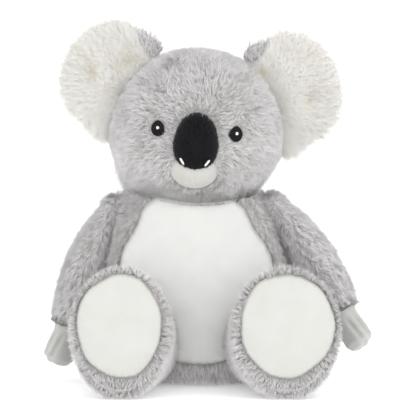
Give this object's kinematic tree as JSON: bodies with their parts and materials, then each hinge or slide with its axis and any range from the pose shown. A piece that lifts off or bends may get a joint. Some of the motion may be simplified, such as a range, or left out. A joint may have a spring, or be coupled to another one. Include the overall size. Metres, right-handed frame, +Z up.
{
  "type": "plush koala",
  "caption": "Sitting soft toy koala with a pear body, tufted ears, black nose pad, swinging arms and upright round soles.",
  "frame": {"origin": "on the floor plane, in the middle of the footprint box that holds the whole toy", "axes": "+Z up, -Y the way the face and the soles look, +X towards the koala's own left hand, which is the right side of a picture taken from the front"},
  "size_m": [0.3287, 0.228, 0.3633],
  "materials": {
    "grey_fur": "light grey pile, combed, with the backing between the tufts darker",
    "white_fur": "long creamy white pile with cream shadows",
    "white_velour": "short smooth off-white pile",
    "grey_velour": "short smooth grey pile with a touch of green",
    "black_plush": "short dense black pile",
    "muzzle_velour": "short smooth warm off-white pile",
    "black_thread": "black satin stitching",
    "white_thread": "white satin stitching",
    "seam_cloth": "rolled grey seam allowance",
    "fibre_fill": "white fibre stuffing"
  },
  "bodies": {
    "torso": {"body_skin": "grey_fur", "belly_panel": "white_velour", "body_fill": "fibre_fill"},
    "neck": {"neck_seam": "seam_cloth"},
    "head": {"head_skin": "grey_fur", "head_fill": "fibre_fill", "nose_pad": "black_plush", "muzzle": "muzzle_velour", "nostril_stitch_left": "white_thread", "nostril_stitch_right": "white_thread", "eye_left": "black_thread", "eye_right": "black_thread", "eye_glint_left": "white_thread", "eye_glint_right": "white_thread"},
    "ear_left": {"ear_front_left": "white_fur", "ear_back_left": "grey_fur"},
    "ear_right": {"ear_front_right": "white_fur", "ear_back_right": "grey_fur"},
    "shoulder_left": {"shoulder_seam_left": "seam_cloth"},
    "arm_left": {"arm_skin_left": "grey_fur", "paw_left": "grey_velour", "arm_fill_left": "fibre_fill"},
    "leg_left": {"leg_skin_left": "grey_fur", "sole_left": "white_velour", "leg_fill_left": "fibre_fill"},
    "shoulder_right": {"shoulder_seam_right": "seam_cloth"},
    "arm_right": {"arm_skin_right": "grey_fur", "paw_right": "grey_velour", "arm_fill_right": "fibre_fill"},
    "leg_right": {"leg_skin_right": "grey_fur", "sole_right": "white_velour", "leg_fill_right": "fibre_fill"}
  },
  "joints": [
    {"name": "neck_turn", "type": "hinge", "parent": "torso", "child": "neck", "pos_m": [-0.01, 0.032, 0.271], "axis": [0, 0, 1], "range_deg": [-25, 25], "stiffness_Nm_per_rad": 0.8},
    {"name": "neck_nod", "type": "hinge", "parent": "neck", "child": "head", "pos_m": [-0.01, 0.032, 0.271], "axis": [1, 0, 0], "range_deg": [-12, 10], "stiffness_Nm_per_rad": 3},
    {"name": "shoulder_swing_left", "type": "hinge", "parent": "torso", "child": "shoulder_left", "pos_m": [-0.09244, 0.03664, 0.17391], "axis": [-0.8843, 0.3573, 0.3007], "range_deg": [-20, 60], "stiffness_Nm_per_rad": 0.12},
    {"name": "shoulder_spread_left", "type": "hinge", "parent": "shoulder_left", "child": "arm_left", "pos_m": [-0.09244, 0.03664, 0.17391], "axis": [0.3746, 0.9272, 0], "range_deg": [0, 50], "stiffness_Nm_per_rad": 0.12},
    {"name": "hip_lift_left", "type": "hinge", "parent": "torso", "child": "leg_left", "pos_m": [-0.067, -0.02, 0.092], "axis": [-1, 0, 0], "range_deg": [0, 30], "stiffness_Nm_per_rad": 0.3},
    {"name": "ear_fold_left", "type": "hinge", "parent": "head", "child": "ear_left", "pos_m": [-0.07689, 0.038, 0.27904], "axis": [0.509, 0, 0.8607], "range_deg": [-20, 20], "stiffness_Nm_per_rad": 0.2},
    {"name": "shoulder_swing_right", "type": "hinge", "parent": "torso", "child": "shoulder_right", "pos_m": [0.06419, 0.03478, 0.1761], "axis": [-0.8567, -0.2136, -0.4695], "range_deg": [-20, 60], "stiffness_Nm_per_rad": 0.12},
    {"name": "shoulder_spread_right", "type": "hinge", "parent": "shoulder_right", "child": "arm_right", "pos_m": [0.06419, 0.03478, 0.1761], "axis": [0.2419, -0.9703, 0], "range_deg": [0, 50], "stiffness_Nm_per_rad": 0.12},
    {"name": "hip_lift_right", "type": "hinge", "parent": "torso", "child": "leg_right", "pos_m": [0.055, -0.02, 0.092], "axis": [-1, 0, 0], "range_deg": [0, 30], "stiffness_Nm_per_rad": 0.3},
    {"name": "ear_fold_right", "type": "hinge", "parent": "head", "child": "ear_right", "pos_m": [0.05734, 0.038, 0.26894], "axis": [0.3746, 0, -0.9272], "range_deg": [-20, 20], "stiffness_Nm_per_rad": 0.2}
  ]
}
